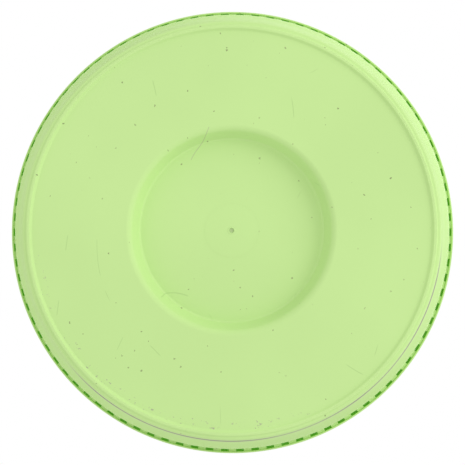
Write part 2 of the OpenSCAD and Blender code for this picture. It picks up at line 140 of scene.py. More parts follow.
def draw_section(name, points, axis=(0, 0), closed=False):
    """Draws a section in the XZ plane, through points (radius, height) in millimetres."""
    bpy.ops.object.select_all(action="DESELECT")
    first = points[0]
    at = ((axis[0] + first[0]) * MM, axis[1] * MM, first[1] * MM)
    bpy.ops.mesh.primitive_plane_add(size=MM, location=at)
    piece = bpy.context.object
    piece.name = name
    piece.data.name = name
    settle()
    bpy.ops.object.mode_set(mode="EDIT")
    bpy.ops.mesh.select_mode(type="VERT")
    bpy.ops.mesh.select_all(action="SELECT")
    bpy.ops.mesh.merge(type="CENTER")
    for here, there in zip(points, points[1:]):
        move = ((there[0] - here[0]) * MM, 0, (there[1] - here[1]) * MM)
        bpy.ops.mesh.extrude_region_move(TRANSFORM_OT_translate={"value": move})
    if closed:
        select_points(piece, [points[0], points[-1]], axis)
        bpy.ops.mesh.edge_face_add()
    done()
    return piece


def select_points(piece, points, axis=(0, 0), near=0.002):
    """Selects the section's vertices that lie at these points."""
    bpy.ops.mesh.select_all(action="DESELECT")
    done()
    for v in piece.data.vertices:
        r = v.co.x / MM - axis[0]
        z = v.co.z / MM
        v.select = any(abs(r - p[0]) < near and abs(z - p[1]) < near for p in points)
    bpy.ops.object.mode_set(mode="EDIT")


def round_corners(piece, corners, axis=(0, 0)):
    """Rounds the section's corners: each is (radius, height, offset, segments)."""
    edit(piece)
    for r, z, offset, segments in corners:
        select_points(piece, [(r, z)], axis)
        bpy.ops.mesh.bevel(offset=offset * MM, segments=segments, affect="VERTICES", profile=0.5)
    done()


def spin(piece, steps, axis=(0, 0)):
    """Turns the section once round and closes the seam and the poles."""
    edit(piece)
    bpy.ops.mesh.select_all(action="SELECT")
    centre = (axis[0] * MM, axis[1] * MM, 0)
    bpy.ops.mesh.spin(steps=steps, angle=2 * math.pi, center=centre, axis=(0, 0, 1))
    bpy.ops.mesh.select_all(action="SELECT")
    bpy.ops.mesh.remove_doubles(threshold=2e-6)
    bpy.ops.mesh.normals_make_consistent(inside=False)
    done()


def select_faces(piece, wanted):
    """In edit mode, selects the faces whose centres pass wanted(x, y, z), and counts them."""
    bpy.ops.mesh.select_mode(type="FACE")
    bpy.ops.mesh.select_all(action="DESELECT")
    done()
    count = 0
    for face in piece.data.polygons:
        x, y, z = (c / MM for c in face.center)
        face.select = bool(wanted(x, y, z))
        count += face.select
    bpy.ops.object.mode_set(mode="EDIT")
    return count


def apply(piece, kind, name, **settings):
    """Adds a modifier, sets it and applies it."""
    take(piece)
    modifier = piece.modifiers.new(name, kind)
    for key, value in settings.items():
        setattr(modifier, key, value)
    bpy.ops.object.modifier_apply(modifier=modifier.name)


def hand_over(piece, body, nodes, finish, angle=35):
    """Smooths a finished piece, gives it its material and fixes it to its body."""
    take(piece)
    bpy.ops.object.shade_smooth_by_angle(angle=math.radians(angle))
    apply(piece, "WEIGHTED_NORMAL", "even_shading", keep_sharp=True, weight=80)
    piece.data.materials.clear()
    piece.data.materials.append(finish)
    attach(piece, body)
    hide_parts(*nodes)
    print(piece.name, "faces:", len(piece.data.polygons))


# %% [markdown]
# ## Shared effects
# Moulded plastic is never perfectly even. A fine orange-peel texture, left by the mould, breaks up
# its shine. Dust settles on it, and years of cleaning leave hair-fine curved scratches. These effects
# are node groups, so each material places them with its own strength.

# %% Node helpers


def new_group(name, inputs, outputs):
    group = bpy.data.node_groups.new(name, "ShaderNodeTree")
    for label, kind, value in inputs:
        socket = group.interface.new_socket(label, in_out="INPUT", socket_type=kind)
        if value is not None:
            socket.default_value = value
    for label, kind in outputs:
        group.interface.new_socket(label, in_out="OUTPUT", socket_type=kind)
    return group, group.nodes.new("NodeGroupInput"), group.nodes.new("NodeGroupOutput")


def add(tree, kind, **settings):
    """Adds a node. Settings that name an input set it, and the others set the node."""
    node = tree.nodes.new(kind)
    for key, value in settings.items():
        if hasattr(node, key):
            setattr(node, key, value)
        else:
            node.inputs[key.replace("_", " ")].default_value = value
    return node


def join(tree, out, socket):
    tree.links.new(out, socket)


def math_node(tree, operation, a, b=None, clamp=False):
    node = tree.nodes.new("ShaderNodeMath")
    node.operation = operation
    node.use_clamp = clamp
    for i, value in enumerate((a, b)):
        if value is None:
            continue
        if isinstance(value, (int, float)):
            node.inputs[i].default_value = value
        else:
            tree.links.new(value, node.inputs[i])
    return node.outputs[0]


def ramp(tree, value, low, high, to_low=0.0, to_high=1.0):
    """Maps low..high to to_low..to_high, smoothly."""
    node = tree.nodes.new("ShaderNodeMapRange")
    node.interpolation_type = "SMOOTHSTEP"
    node.inputs["From Min"].default_value = low
    node.inputs["From Max"].default_value = high
    node.inputs["To Min"].default_value = to_low
    node.inputs["To Max"].default_value = to_high
    tree.links.new(value, node.inputs["Value"])
    return node.outputs["Result"]


# %% Orange peel from the mould
peel, peel_in, peel_out = new_group(
    "mould_texture",
    [("Vector", "NodeSocketVector", None), ("Grain", "NodeSocketFloat", 900.0)],
    [("Height", "NodeSocketFloat")],
)
fine = add(peel, "ShaderNodeTexNoise", Detail=2.0, Roughness=0.6)
broad = add(peel, "ShaderNodeTexNoise", Scale=28.0, Detail=1.0)
join(peel, peel_in.outputs["Vector"], fine.inputs["Vector"])
join(peel, peel_in.outputs["Grain"], fine.inputs["Scale"])
join(peel, peel_in.outputs["Vector"], broad.inputs["Vector"])
waves = math_node(peel, "MULTIPLY", broad.outputs["Fac"], 0.8)
join(peel, math_node(peel, "ADD", fine.outputs["Fac"], waves), peel_out.inputs["Height"])
print("mould_texture nodes:", len(peel.nodes))

# %% Dust specks
dust, dust_in, dust_out = new_group(
    "dust_specks",
    [("Vector", "NodeSocketVector", None), ("Size", "NodeSocketFloat", 0.15)],
    [("Mask", "NodeSocketFloat")],
)
cells = add(dust, "ShaderNodeTexVoronoi", Scale=300.0)
patch = add(dust, "ShaderNodeTexNoise", Scale=13.0, Detail=2.0)
ragged = add(dust, "ShaderNodeTexNoise", Scale=900.0, Detail=2.0)
join(dust, dust_in.outputs["Vector"], ragged.inputs["Vector"])
spread = add(dust, "ShaderNodeVectorMath", operation="MULTIPLY_ADD")
join(dust, ragged.outputs["Color"], spread.inputs[0])
spread.inputs[1].default_value = (0.0016, 0.0016, 0.0016)
join(dust, dust_in.outputs["Vector"], spread.inputs[2])
join(dust, spread.outputs["Vector"], cells.inputs["Vector"])
join(dust, dust_in.outputs["Vector"], patch.inputs["Vector"])
pick = add(dust, "ShaderNodeSeparateColor")
join(dust, cells.outputs["Color"], pick.inputs["Color"])
chosen = ramp(dust, pick.outputs["Red"], 0.80, 0.99)
reach = math_node(dust, "MULTIPLY", dust_in.outputs["Size"], chosen)
inside = math_node(dust, "LESS_THAN", cells.outputs["Distance"], reach)
area = ramp(dust, patch.outputs["Fac"], 0.34, 0.54)
join(dust, math_node(dust, "MULTIPLY", inside, area), dust_out.inputs["Mask"])
print("dust_specks nodes:", len(dust.nodes))

# %% Hair-fine scratches
scratch, scratch_in, scratch_out = new_group(
    "fine_scratches",
    [("Vector", "NodeSocketVector", None), ("Scale", "NodeSocketFloat", 11.0)],
    [("Mask", "NodeSocketFloat")],
)
lines = None
for turn in (0.4, 1.7, 2.9):
    place = add(scratch, "ShaderNodeMapping", Rotation=(0.0, 0.0, turn), Scale=(1.0, 0.55, 1.0),
                Location=(turn, -turn, 0.0))
    warp = add(scratch, "ShaderNodeTexNoise", Detail=0.0)
    join(scratch, scratch_in.outputs["Vector"], place.inputs["Vector"])
    join(scratch, place.outputs["Vector"], warp.inputs["Vector"])
    join(scratch, scratch_in.outputs["Scale"], warp.inputs["Scale"])
    off = math_node(scratch, "ABSOLUTE", math_node(scratch, "SUBTRACT", warp.outputs["Fac"], 0.5))
    thin = math_node(scratch, "SUBTRACT", 1.0, ramp(scratch, off, 0.0004, 0.0018))
    lines = thin if lines is None else math_node(scratch, "MAXIMUM", lines, thin)
broken = add(scratch, "ShaderNodeTexNoise", Scale=42.0, Detail=1.0)
join(scratch, scratch_in.outputs["Vector"], broken.inputs["Vector"])
kept = ramp(scratch, broken.outputs["Fac"], 0.60, 0.64)
join(scratch, math_node(scratch, "MULTIPLY", lines, kept), scratch_out.inputs["Mask"])
print("fine_scratches nodes:", len(scratch.nodes))

# %% [markdown]
# ## Plastics
# The green parts are satin polypropylene, with a broad, soft shine. The white parts are a stiffer,
# whiter plastic. One function makes them all, because they differ only in colour, sheen and wear.

# %% Moulded plastic


def moulded_plastic(name, colour, worn, roughness=0.42, grain=900.0, peel_depth=0.00003,
                    dust_amount=0.35, scratch_amount=0.3):
    """A satin moulded plastic. worn is the colour of its scratches, and specks are darker.

    Gives the material, the node that mixes its colour, and its shader."""
    material = bpy.data.materials.new(name)
    material.use_nodes = True
    tree = material.node_tree
    tree.nodes.clear()
    out = add(tree, "ShaderNodeOutputMaterial")
    shader = add(tree, "ShaderNodeBsdfPrincipled")
    shader.inputs["IOR"].default_value = 1.49
    where = add(tree, "ShaderNodeTexCoord").outputs["Object"]
    texture = add(tree, "ShaderNodeGroup", node_tree=peel)
    texture.inputs["Grain"].default_value = grain
    specks = add(tree, "ShaderNodeGroup", node_tree=dust)
    marks = add(tree, "ShaderNodeGroup", node_tree=scratch)
    cloud = add(tree, "ShaderNodeTexNoise", Scale=9.0, Detail=3.0)
    for node in (texture, specks, marks, cloud):
        join(tree, where, node.inputs["Vector"])
    tint = add(tree, "ShaderNodeMix", data_type="RGBA")
    tint.inputs["A"].default_value = colour
    tint.inputs["B"].default_value = [c * 0.965 for c in colour[:3]] + [1.0]
    join(tree, ramp(tree, cloud.outputs["Fac"], 0.35, 0.65), tint.inputs["Factor"])
    dirt = math_node(tree, "MULTIPLY", specks.outputs["Mask"], dust_amount)
    wear = math_node(tree, "MULTIPLY", marks.outputs["Mask"], scratch_amount)
    both = math_node(tree, "MAXIMUM", dirt, wear, clamp=True)
    specked = add(tree, "ShaderNodeMix", data_type="RGBA")
    specked.inputs["B"].default_value = [0.45 * colour[0], 0.38 * colour[1], 0.45 * colour[2], 1.0]
    join(tree, tint.outputs["Result"], specked.inputs["A"])
    join(tree, dirt, specked.inputs["Factor"])
    dull = add(tree, "ShaderNodeMix", data_type="RGBA")
    dull.inputs["B"].default_value = worn
    join(tree, specked.outputs["Result"], dull.inputs["A"])
    join(tree, wear, dull.inputs["Factor"])
    join(tree, dull.outputs["Result"], shader.inputs["Base Color"])
    gloss = ramp(tree, cloud.outputs["Fac"], 0.3, 0.7, roughness - 0.04, roughness + 0.05)
    join(tree, math_node(tree, "ADD", gloss, math_node(tree, "MULTIPLY", both, 0.25)),
         shader.inputs["Roughness"])
    bump = add(tree, "ShaderNodeBump", Strength=0.5, Distance=peel_depth)
    height = math_node(tree, "SUBTRACT", texture.outputs["Height"], wear)
    join(tree, height, bump.inputs["Height"])
    join(tree, bump.outputs["Normal"], shader.inputs["Normal"])
    join(tree, shader.outputs["BSDF"], out.inputs["Surface"])
    return material, dull, shader


LEAF = (0.565, 0.80, 0.314, 1.0)
LEAF_WORN = (0.62, 0.78, 0.45, 1.0)
# A deeper green that is painted on the bowl's wall as shade
LEAF_PAINTED_SHADE = (0.525, 0.78, 0.265, 1.0)
leaf_lid = moulded_plastic("leaf_green_plastic", LEAF, LEAF_WORN)[0]
deep_green = moulded_plastic("deep_green_plastic", (0.13, 0.36, 0.06, 1.0), (0.3, 0.45, 0.2, 1.0))[0]
soft_white = moulded_plastic("white_plastic", (0.74, 0.75, 0.70, 1.0), (0.62, 0.62, 0.56, 1.0),
                             roughness=0.38)[0]
natural = moulded_plastic("natural_acetal", (0.74, 0.73, 0.66, 1.0), (0.6, 0.6, 0.55, 1.0),
                          roughness=0.3)[0]
print("plastics:", len(bpy.data.materials))

# %% [markdown]
# The bowl has five things more. Dirt and limescale collect in the fine groove above its foot, where
# a sponge doesn't reach, so a thin grey-brown line runs part of the way round it. Grit stays just
# inside the foot ring. One long scratch crosses the edge of the recess. The wall's green is painted a
# little deeper than the foot's, as painted shade for light bouncing between wall and skirt. And a
# painted glow in the pockets stands in for the light that gets through the thin skirt.

# %% The bowl's own plastic
leaf_bowl, bowl_dull, bowl_shader = moulded_plastic(
    "leaf_green_bowl", LEAF, (0.42, 0.62, 0.24, 1.0), roughness=0.6, dust_amount=0.85,
    scratch_amount=0.6, peel_depth=0.00005)
bowl_shader.inputs["Specular IOR Level"].default_value = 0.08
# Directions are in degrees about +Z, and a mark grows from its first distance to its second
LINE_TURN, LINE_FROM, LINE_FULL = 252, 35, 60
LINE_HALF_W, LINE_FADE = 0.8, 2.8
GRIT_TURN, GRIT_FROM, GRIT_FULL = 300, 45, 85
GRIT_IN_R, GRIT_OUT_R, GRIT_TOP = 97.5, 101.6, 1.4
GATE_R = 1.2
CUT_TURN, CUT_OFF, CUT_FROM, CUT_TO, CUT_TOP = 29.7, 35.8, -40.0, -21.2, 11.5
CUT_HALF_W, CUT_FADE, CUT_WAVE, CUT_RIPPLES = 0.1, 0.3, 0.4, 330.0
# Heights over which the wall's painted shade grows
SHADE_FROM, SHADE_FULL = 9, 30
DIRT = (0.33, 0.30, 0.27, 1.0)
# The colour of the pockets' painted glow, an emission
POCKET_PAINTED_GLOW = (0.018, 0.065, 0.004, 1.0)


def band(tree, value, low, high):
    """1 where a value lies between two limits, else 0."""
    above = math_node(tree, "GREATER_THAN", value, low)
    return math_node(tree, "MULTIPLY", above, math_node(tree, "LESS_THAN", value, high))


def facing(tree, parts, turn):
    """How far a point lies from the axis in one direction about +Z."""
    along_x = math_node(tree, "MULTIPLY", parts.outputs["X"], math.cos(math.radians(turn)))
    along_y = math_node(tree, "MULTIPLY", parts.outputs["Y"], math.sin(math.radians(turn)))
    return math_node(tree, "ADD", along_x, along_y)


def groove_line(tree, parts, on_wall):
    """The dirt line in the groove, on one side of the bowl and stronger in patches."""
    where = add(tree, "ShaderNodeTexCoord").outputs["Object"]
    gap = math_node(tree, "SUBTRACT", parts.outputs["Z"], GROOVE_Z * MM)
    off = math_node(tree, "ABSOLUTE", gap)
    line = math_node(tree, "SUBTRACT", 1.0, ramp(tree, off, LINE_HALF_W * MM, LINE_FADE * MM))
    side = ramp(tree, facing(tree, parts, LINE_TURN), LINE_FROM * MM, LINE_FULL * MM)
    line = math_node(tree, "MULTIPLY", math_node(tree, "MULTIPLY", line, on_wall), side)
    patchy = add(tree, "ShaderNodeTexNoise", Scale=19.0, Detail=3.0)
    join(tree, where, patchy.inputs["Vector"])
    return math_node(tree, "MULTIPLY", line,
                     ramp(tree, patchy.outputs["Fac"], 0.34, 0.56, 0.6, 1.0))


def foot_grit(tree, parts, radius):
    """Grit in the corner inside the foot ring, on one side of the bowl."""
    where = add(tree, "ShaderNodeTexCoord").outputs["Object"]
    grit = add(tree, "ShaderNodeTexNoise", Scale=420.0, Detail=4.0, Roughness=0.7)
    join(tree, where, grit.inputs["Vector"])
    specks = ramp(tree, grit.outputs["Fac"], 0.60, 0.66)
    inside = math_node(tree, "MULTIPLY", band(tree, radius, GRIT_IN_R * MM, GRIT_OUT_R * MM),
                       math_node(tree, "LESS_THAN", parts.outputs["Z"], GRIT_TOP * MM))
    side = ramp(tree, facing(tree, parts, GRIT_TURN), GRIT_FROM * MM, GRIT_FULL * MM)
    return math_node(tree, "MULTIPLY", math_node(tree, "MULTIPLY", specks, inside), side)


def long_scratch(tree, parts):
    """One long scratch over the edge of the recess, a little wavy along its length."""
    run = facing(tree, parts, CUT_TURN - 90)
    wave = math_node(tree, "SINE", math_node(tree, "MULTIPLY", run, CUT_RIPPLES))
    beside = math_node(tree, "SUBTRACT", facing(tree, parts, CUT_TURN), CUT_OFF * MM)
    beside = math_node(tree, "ADD", beside, math_node(tree, "MULTIPLY", wave, CUT_WAVE * MM))
    beside = math_node(tree, "ABSOLUTE", beside)
    mark = math_node(tree, "SUBTRACT", 1.0, ramp(tree, beside, CUT_HALF_W * MM, CUT_FADE * MM))
    mark = math_node(tree, "MULTIPLY", mark, band(tree, run, CUT_FROM * MM, CUT_TO * MM))
    return math_node(tree, "MULTIPLY", mark,
                     math_node(tree, "LESS_THAN", parts.outputs["Z"], CUT_TOP * MM))


def bowl_marks(material, dull, shader):
    """Adds the bowl's marks, the painted shade on its wall and the painted glow in its pockets."""
    tree = material.node_tree
    where = add(tree, "ShaderNodeTexCoord").outputs["Object"]
    parts = add(tree, "ShaderNodeSeparateXYZ")
    join(tree, where, parts.inputs["Vector"])
    height = parts.outputs["Z"]
    across = math_node(tree, "POWER", parts.outputs["X"], 2.0)
    along = math_node(tree, "POWER", parts.outputs["Y"], 2.0)
    radius = math_node(tree, "SQRT", math_node(tree, "ADD", across, along))
    on_wall = math_node(tree, "GREATER_THAN", radius, (WALL_FOOT_R - 0.2) * MM)
    # Painted shade: the wall's green is painted deeper above its foot, standing in for light
    # that bounces between it and the skirt
    deep = add(tree, "ShaderNodeMix", data_type="RGBA")
    deep.inputs["B"].default_value = LEAF_PAINTED_SHADE
    join(tree, dull.outputs["Result"], deep.inputs["A"])
    below_skirt = math_node(tree, "LESS_THAN", height, (SKIRT_Z - 0.2) * MM)
    bare = math_node(tree, "MULTIPLY", on_wall, below_skirt)
    painted_shade_fac = math_node(tree, "MULTIPLY", ramp(tree, height, SHADE_FROM * MM, SHADE_FULL * MM), bare)
    join(tree, painted_shade_fac, deep.inputs["Factor"])
    # The strongest mark at a point wins
    line = groove_line(tree, parts, on_wall)
    specks = foot_grit(tree, parts, radius)
    gate = math_node(tree, "LESS_THAN", radius, GATE_R * MM)
    gate = math_node(tree, "MAXIMUM", gate, long_scratch(tree, parts))
    mask = math_node(tree, "MAXIMUM", line, math_node(tree, "MULTIPLY", specks, 0.7))
    mask = math_node(tree, "MAXIMUM", mask, math_node(tree, "MULTIPLY", gate, 0.35), clamp=True)
    dirty = add(tree, "ShaderNodeMix", data_type="RGBA")
    dirty.inputs["B"].default_value = DIRT
    join(tree, deep.outputs["Result"], dirty.inputs["A"])
    join(tree, mask, dirty.inputs["Factor"])
    join(tree, dirty.outputs["Result"], shader.inputs["Base Color"])
    # Painted light: the pockets get a green glow, standing in for light through the thin skirt.
    # The glow fills a band a little wider and taller than the pockets, so it takes in all their sides
    around = band(tree, radius, (POCKET_IN_R - 0.1) * MM, (SKIRT_IN_R + 0.1) * MM)
    up = band(tree, height, (RIB_Z + 0.3) * MM, (RIB_Z + POCKET_DEPTH + 0.3) * MM)
    painted_glow = add(tree, "ShaderNodeMix", data_type="RGBA")
    painted_glow.inputs["A"].default_value = (0.0, 0.0, 0.0, 1.0)
    painted_glow.inputs["B"].default_value = POCKET_PAINTED_GLOW
    join(tree, math_node(tree, "MULTIPLY", around, up), painted_glow.inputs["Factor"])
    join(tree, painted_glow.outputs["Result"], shader.inputs["Emission Color"])
    shader.inputs["Emission Strength"].default_value = 1.0


bowl_marks(leaf_bowl, bowl_dull, bowl_shader)
print("groove at", GROOVE_Z, "mm")

# %% [markdown]
# ## Steel and rubber
# The shaft, pins, clips and screws are turned from stainless wire and rod, so their fine marks run
# round them. The brake pad is matt rubber.

# %% Turned steel


def turned_steel():
    material = bpy.data.materials.new("turned_steel")
    material.use_nodes = True
    tree = material.node_tree
    shader = tree.nodes["Principled BSDF"]
    shader.inputs["Metallic"].default_value = 1.0
    where = add(tree, "ShaderNodeTexCoord").outputs["Object"]
    stretch = add(tree, "ShaderNodeMapping", Scale=(60.0, 60.0, 4000.0))
    marks = add(tree, "ShaderNodeTexNoise", Scale=1.0, Detail=3.0)
    join(tree, where, stretch.inputs["Vector"])
    join(tree, stretch.outputs["Vector"], marks.inputs["Vector"])
    tone = add(tree, "ShaderNodeMix", data_type="RGBA")
    tone.inputs["A"].default_value = (0.62, 0.62, 0.63, 1.0)
    tone.inputs["B"].default_value = (0.50, 0.50, 0.51, 1.0)
    join(tree, marks.outputs["Fac"], tone.inputs["Factor"])
    join(tree, tone.outputs["Result"], shader.inputs["Base Color"])
    join(tree, ramp(tree, marks.outputs["Fac"], 0.3, 0.7, 0.2, 0.36), shader.inputs["Roughness"])
    bump = add(tree, "ShaderNodeBump", Strength=0.3, Distance=0.00002)
    join(tree, marks.outputs["Fac"], bump.inputs["Height"])
    join(tree, bump.outputs["Normal"], shader.inputs["Normal"])
    return material


steel = turned_steel()
black_rubber = moulded_plastic("brake_rubber", (0.035, 0.037, 0.035, 1.0), (0.12, 0.12, 0.11, 1.0),
                               roughness=0.72, grain=1500.0, peel_depth=0.00006)[0]
print("metals and rubbers ready")

# %% [markdown]
# ## The bowl
# The underside has, from the middle out, a round recess that the mould's core pushed up, with the
# gate's small mark at its centre; a wide flat panel; a narrow foot ring that the bowl stands on; and
# a steep wall that ends in a turned-down rim. The whole section is drawn once and turned. The
# mould maker kept the walls even, so the inner side follows the outer one.

# %% Draw the bowl's section


GROOVE_W = 0.9
GROOVE_DEPTH = 0.5
RECESS_TOP = RECESS_Z + 0.22
FOOT_CORNER_R = FOOT_IN_R - 1.2
PLATEAU_R = 46.6
PLATEAU_FOOT_R = 51.6
FLOOR_R = wall_r(6) - WALL
PIN_R = 4.0
PIN_TOP = PLATEAU_Z + 10.6


def bowl_outside():
    """From the gate's mark, across the recess, panel and foot, and up the wall to the rim."""
    gate = [(0.0, RECESS_Z + 0.5), (1.1, RECESS_Z + 0.45), (1.4, RECESS_Z - 0.2),
            (1.9, RECESS_Z - 0.2), (2.2, RECESS_Z)]
    disc = [(13.7, RECESS_Z), (14.1, RECESS_TOP)]
    recess = [(RECESS_FLOOR_R, RECESS_TOP), (RECESS_MOUTH_R, PANEL_Z)]
    foot = [(FOOT_CORNER_R, PANEL_Z), (FOOT_IN_R, 0.0), (FOOT_OUT_R, 0.0),
            (FOOT_OUT_R + 0.6, LEDGE_Z - 0.2), (WALL_FOOT_R - 1.4, LEDGE_Z),
            (WALL_FOOT_R - 0.6, LEDGE_Z + 1.4)]
    wall = [(wall_r(z), z) for z in (WALL_FOOT_Z, GROOVE_Z - GROOVE_W)]
    groove = [(wall_r(GROOVE_Z) - GROOVE_DEPTH, GROOVE_Z),
              (wall_r(GROOVE_Z + GROOVE_W), GROOVE_Z + GROOVE_W)]
    upper = [(wall_r(z), z) for z in (16, 24, 32, 40, 48, 56, 64, 72, 80, 88, 96, RIB_Z)]
    return gate + disc + recess + foot + wall + groove + upper + [
        (POCKET_IN_R, RIB_Z), (SKIRT_IN_R, RIB_Z), (SKIRT_IN_R, SKIRT_Z), (RIM_R, SKIRT_Z),
        (RIM_R, BOWL_H),
    ]


def bowl_inside():
    """From the rim, down the wall, across the floor and up to the centre pin's top."""
    heights = (BOWL_H, 114, 104, 92, 80, 68, 56, 44, 32, 20, 10)
    return [(wall_r(z) - WALL, float(z)) for z in heights] + [
        (FLOOR_R, FLOOR_Z), (PLATEAU_FOOT_R, FLOOR_Z), (PLATEAU_R, PLATEAU_Z), (PIN_R, PLATEAU_Z),
        (PIN_R, PIN_TOP), (0.0, PIN_TOP),
    ]


bowl = draw_section("bowl_shell", bowl_outside() + bowl_inside())
round_corners(bowl, [
    (RECESS_FLOOR_R, RECESS_TOP, 1.0, 4), (RECESS_MOUTH_R, PANEL_Z, 2.4, 7),
    (FOOT_CORNER_R, PANEL_Z, 0.4, 3), (FOOT_IN_R, 0.0, 0.25, 3), (FOOT_OUT_R, 0.0, 0.4, 2),
    (WALL_FOOT_R - 1.4, LEDGE_Z, 0.3, 2), (WALL_FOOT_R - 0.6, LEDGE_Z + 1.4, 0.7, 3),
    (SKIRT_IN_R, SKIRT_Z, 0.25, 2), (RIM_R, SKIRT_Z, 0.3, 2), (RIM_R, BOWL_H, 1.5, 4),
    (wall_r(BOWL_H) - WALL, BOWL_H, 1.0, 3), (FLOOR_R, FLOOR_Z, 4.0, 6),
    (PLATEAU_FOOT_R, FLOOR_Z, 2.5, 4), (PLATEAU_R, PLATEAU_Z, 2.5, 4), (PIN_R, PIN_TOP, 1.0, 3),
])
print("section points:", len(bowl.data.vertices))

# %% Turn the bowl
SPIN_STEPS = 4 * RIB_COUNT
spin(bowl, SPIN_STEPS)
print("bowl faces:", len(bowl.data.polygons))

# %% [markdown]
# Behind the turned-down rim stand short ribs, with deep pockets between them, which keep the thin rim
# from warping. The Spin made four faces for each rib and pocket, so every second pair of faces on
# the flat ring between wall and skirt is extruded up into the rim.

# %% Sink the pockets


def in_pocket(x, y, z):
    r = math.hypot(x, y)
    turn = math.degrees(math.atan2(y, x)) * RIB_COUNT / 360
    near = abs(turn - round(turn))
    return abs(z - RIB_Z) < 0.01 and POCKET_IN_R < r < SKIRT_IN_R and near < 0.25


edit(bowl)
found = select_faces(bowl, in_pocket)
# A first short step keeps the mouth's shading crisp
for rise in (0.5, POCKET_DEPTH - 0.5):
    bpy.ops.mesh.extrude_region_move(TRANSFORM_OT_translate={"value": (0, 0, rise * MM)})
done()
hand_over(bowl, "bowl_body", ["bowl"], leaf_bowl)
print("pocket faces:", found)

# %% [markdown]
# ## Joining and cutting
# Bosses, cups, slots and holes are separate simple solids that a Boolean joins to a turned piece or
# cuts from it, as a designer would do it.

# %% Helpers for joining and cutting


def join_up(name, made):
    """Joins objects into one, with its origin at the world's."""
    bpy.ops.object.select_all(action="DESELECT")
    for item in made:
        item.select_set(True)
    bpy.context.view_layer.objects.active = made[0]
    if len(made) > 1:
        bpy.ops.object.join()
    piece = bpy.context.object
    piece.name = name
    settle()
    return piece


def cylinders(name, places, radius, low, high, sides=48):
    """Upright cylinders at places (x, y), in millimetres, joined as one object."""
    made = []
    for x, y in places:
        bpy.ops.object.select_all(action="DESELECT")
        bpy.ops.mesh.primitive_cylinder_add(
            vertices=sides, radius=radius * MM, depth=(high - low) * MM,
            location=(x * MM, y * MM, (low + high) / 2 * MM))
        made.append(bpy.context.object)
    return join_up(name, made)


def blocks(name, rings):
    """Blocks around the axis. Each ring is (count, turn, from_r, to_r, width, low, high)."""
    made = []
    for count, turn, from_r, to_r, width, low, high in rings:
        for i in range(count):
            a = math.radians(turn + 360 * i / count)
            r = (from_r + to_r) / 2 * MM
            bpy.ops.object.select_all(action="DESELECT")
            bpy.ops.mesh.primitive_cube_add(
                size=1.0, location=(r * math.cos(a), r * math.sin(a), (low + high) / 2 * MM),
                rotation=(0, 0, a))
            block = bpy.context.object
            block.scale = ((to_r - from_r) * MM, width * MM, (high - low) * MM)
            made.append(block)
    return join_up(name, made)


def combine(piece, other, operation):
    """Joins another object to a piece, or cuts it from it, and then deletes the other."""
    apply(piece, "BOOLEAN", operation.lower(), operation=operation, object=other, solver="EXACT")
    take(other)
    bpy.ops.object.delete()


def on_arm(arm, angles):
    return [(arm * math.cos(math.radians(a)), arm * math.sin(math.radians(a))) for a in angles]


print("helpers ready")

# %% [markdown]
# ## The lid
# The lid is a shallow dome with a raised collar. Inside the collar is a round chamber for the gears,
# and near the edge is a cup for the brake button. A rib under the edge centres the lid in the bowl.

# %% Turn the lid
LID_R = span("lid")[1][0]
EDGE_TOP = BOWL_H + 2.6
DOME_RISE = 6.0
LID_T = 2.4
COLLAR_R = span("bezel_ring")[1][0] - 2.03
COLLAR_IN_R = COLLAR_R - LID_T
CHAMBER_R = COLLAR_IN_R - 6.0
COLLAR_TOP = span("lid")[1][2]
CHAMBER_FLOOR = EDGE_TOP + 0.6
LEDGE_TOP = COLLAR_TOP - 3.0
COLLAR_FOOT = 126.55
BOSS_R = 9.5
BOSS_Z = 114.5
BUSH_HOLE_R = 6.03
LOCATING_Z = BOWL_H - 7.5
LOCATING_R = wall_r(LOCATING_Z) - WALL - 0.7


def dome(t):
    """A point of the lid's top surface, from the collar (0) to the edge (1)."""
    return COLLAR_IN_R + (LID_R - 4.5 - COLLAR_IN_R) * t, EDGE_TOP + DOME_RISE * (1 - t * t)


dome_top = [dome(t) for t in (1.0, 0.9, 0.8, 0.7, 0.6, 0.5, 0.4, 0.3, 0.2)]
dome_under = [(dome(t)[0], dome(t)[1] - LID_T) for t in (0.0, 0.2, 0.4, 0.6, 0.8, 0.9)]
lid = draw_section("lid_shell", [
    (BUSH_HOLE_R, BOSS_Z), (BOSS_R, BOSS_Z), (BOSS_R, CHAMBER_FLOOR),
    (CHAMBER_R + LID_T, CHAMBER_FLOOR), (CHAMBER_R + LID_T, LEDGE_TOP - LID_T),
    (COLLAR_IN_R, LEDGE_TOP - LID_T)] + dome_under + [
    (LID_R - 8, BOWL_H), (LOCATING_R - 2, BOWL_H), (LOCATING_R - 2, LOCATING_Z),
    (LOCATING_R, LOCATING_Z), (LOCATING_R, BOWL_H), (LID_R, BOWL_H), (LID_R, EDGE_TOP)] + dome_top + [
    (COLLAR_R, COLLAR_FOOT), (COLLAR_R, COLLAR_TOP), (COLLAR_IN_R, COLLAR_TOP),
    (COLLAR_IN_R, LEDGE_TOP), (CHAMBER_R, LEDGE_TOP), (CHAMBER_R, CHAMBER_FLOOR + LID_T),
    (BUSH_HOLE_R, CHAMBER_FLOOR + LID_T),
], closed=True)
round_corners(lid, [
    (BOSS_R, BOSS_Z, 0.6, 2), (LOCATING_R - 2, LOCATING_Z, 0.6, 3), (LOCATING_R, LOCATING_Z, 0.6, 3),
    (LID_R, BOWL_H, 0.4, 2), (LID_R, EDGE_TOP, 1.0, 4), (COLLAR_R, COLLAR_FOOT, 0.6, 3),
    (COLLAR_R, COLLAR_TOP, 0.4, 2), (COLLAR_IN_R, COLLAR_TOP, 0.4, 2), (CHAMBER_R, LEDGE_TOP, 0.5, 2),
])
spin(lid, 180)
print("lid faces:", len(lid.data.polygons))

